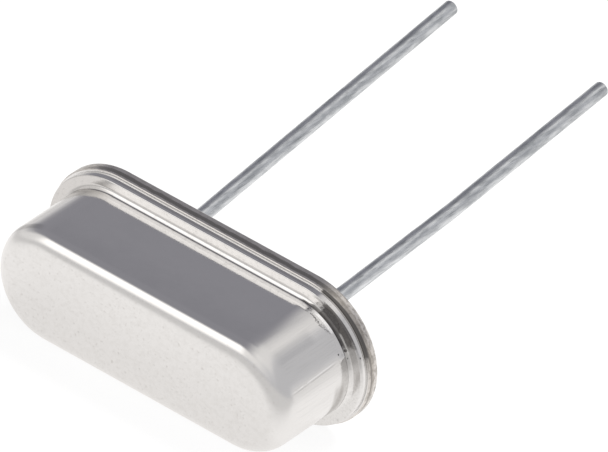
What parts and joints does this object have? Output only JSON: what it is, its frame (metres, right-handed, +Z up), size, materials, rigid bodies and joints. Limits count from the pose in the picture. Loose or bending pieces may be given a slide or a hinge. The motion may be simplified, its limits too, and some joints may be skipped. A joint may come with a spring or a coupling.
{
  "type": "crystal oscillator",
  "caption": "Low metal can with rounded ends welded to a flanged base, with straight wire leads in glass seals; a thin quartz strip sits on spring clips inside.",
  "frame": {"origin": "centre of the seating face on the underside of the base, midway between the leads", "axes": "the part lies on its flat side at rest: +Y away from the can along the leads, level; +X along the can to the right, seen from the can's end with the leads pointing away; +Z up. The can's axis dips 10.1 degrees towards the can"},
  "size_m": [0.011, 0.0163, 0.0058],
  "materials": {
    "can_steel": "nickel-plated drawn sheet, satin bright",
    "base_steel": "nickel-plated stamped plate",
    "lead_wire": "tinned wire, satin",
    "seal_glass": "dark green-grey sealing glass",
    "clip_strip": "nickel silver strip, satin",
    "quartz": "lapped and etched, faintly frosted",
    "silver_film": "evaporated silver, matt where the quartz is lapped",
    "adhesive": "silver-filled epoxy, matt"
  },
  "bodies": {
    "root": {"cap": "can_steel", "base": "base_steel", "glass_seal_left": "seal_glass", "glass_seal_right": "seal_glass", "lead_left": "lead_wire", "lead_right": "lead_wire", "spring_clip_left": "clip_strip", "spring_clip_right": "clip_strip", "quartz_blank": "quartz", "electrode_top": "silver_film", "electrode_bottom": "silver_film", "adhesive_left": "adhesive", "adhesive_right": "adhesive"}
  },
  "joints": []
}
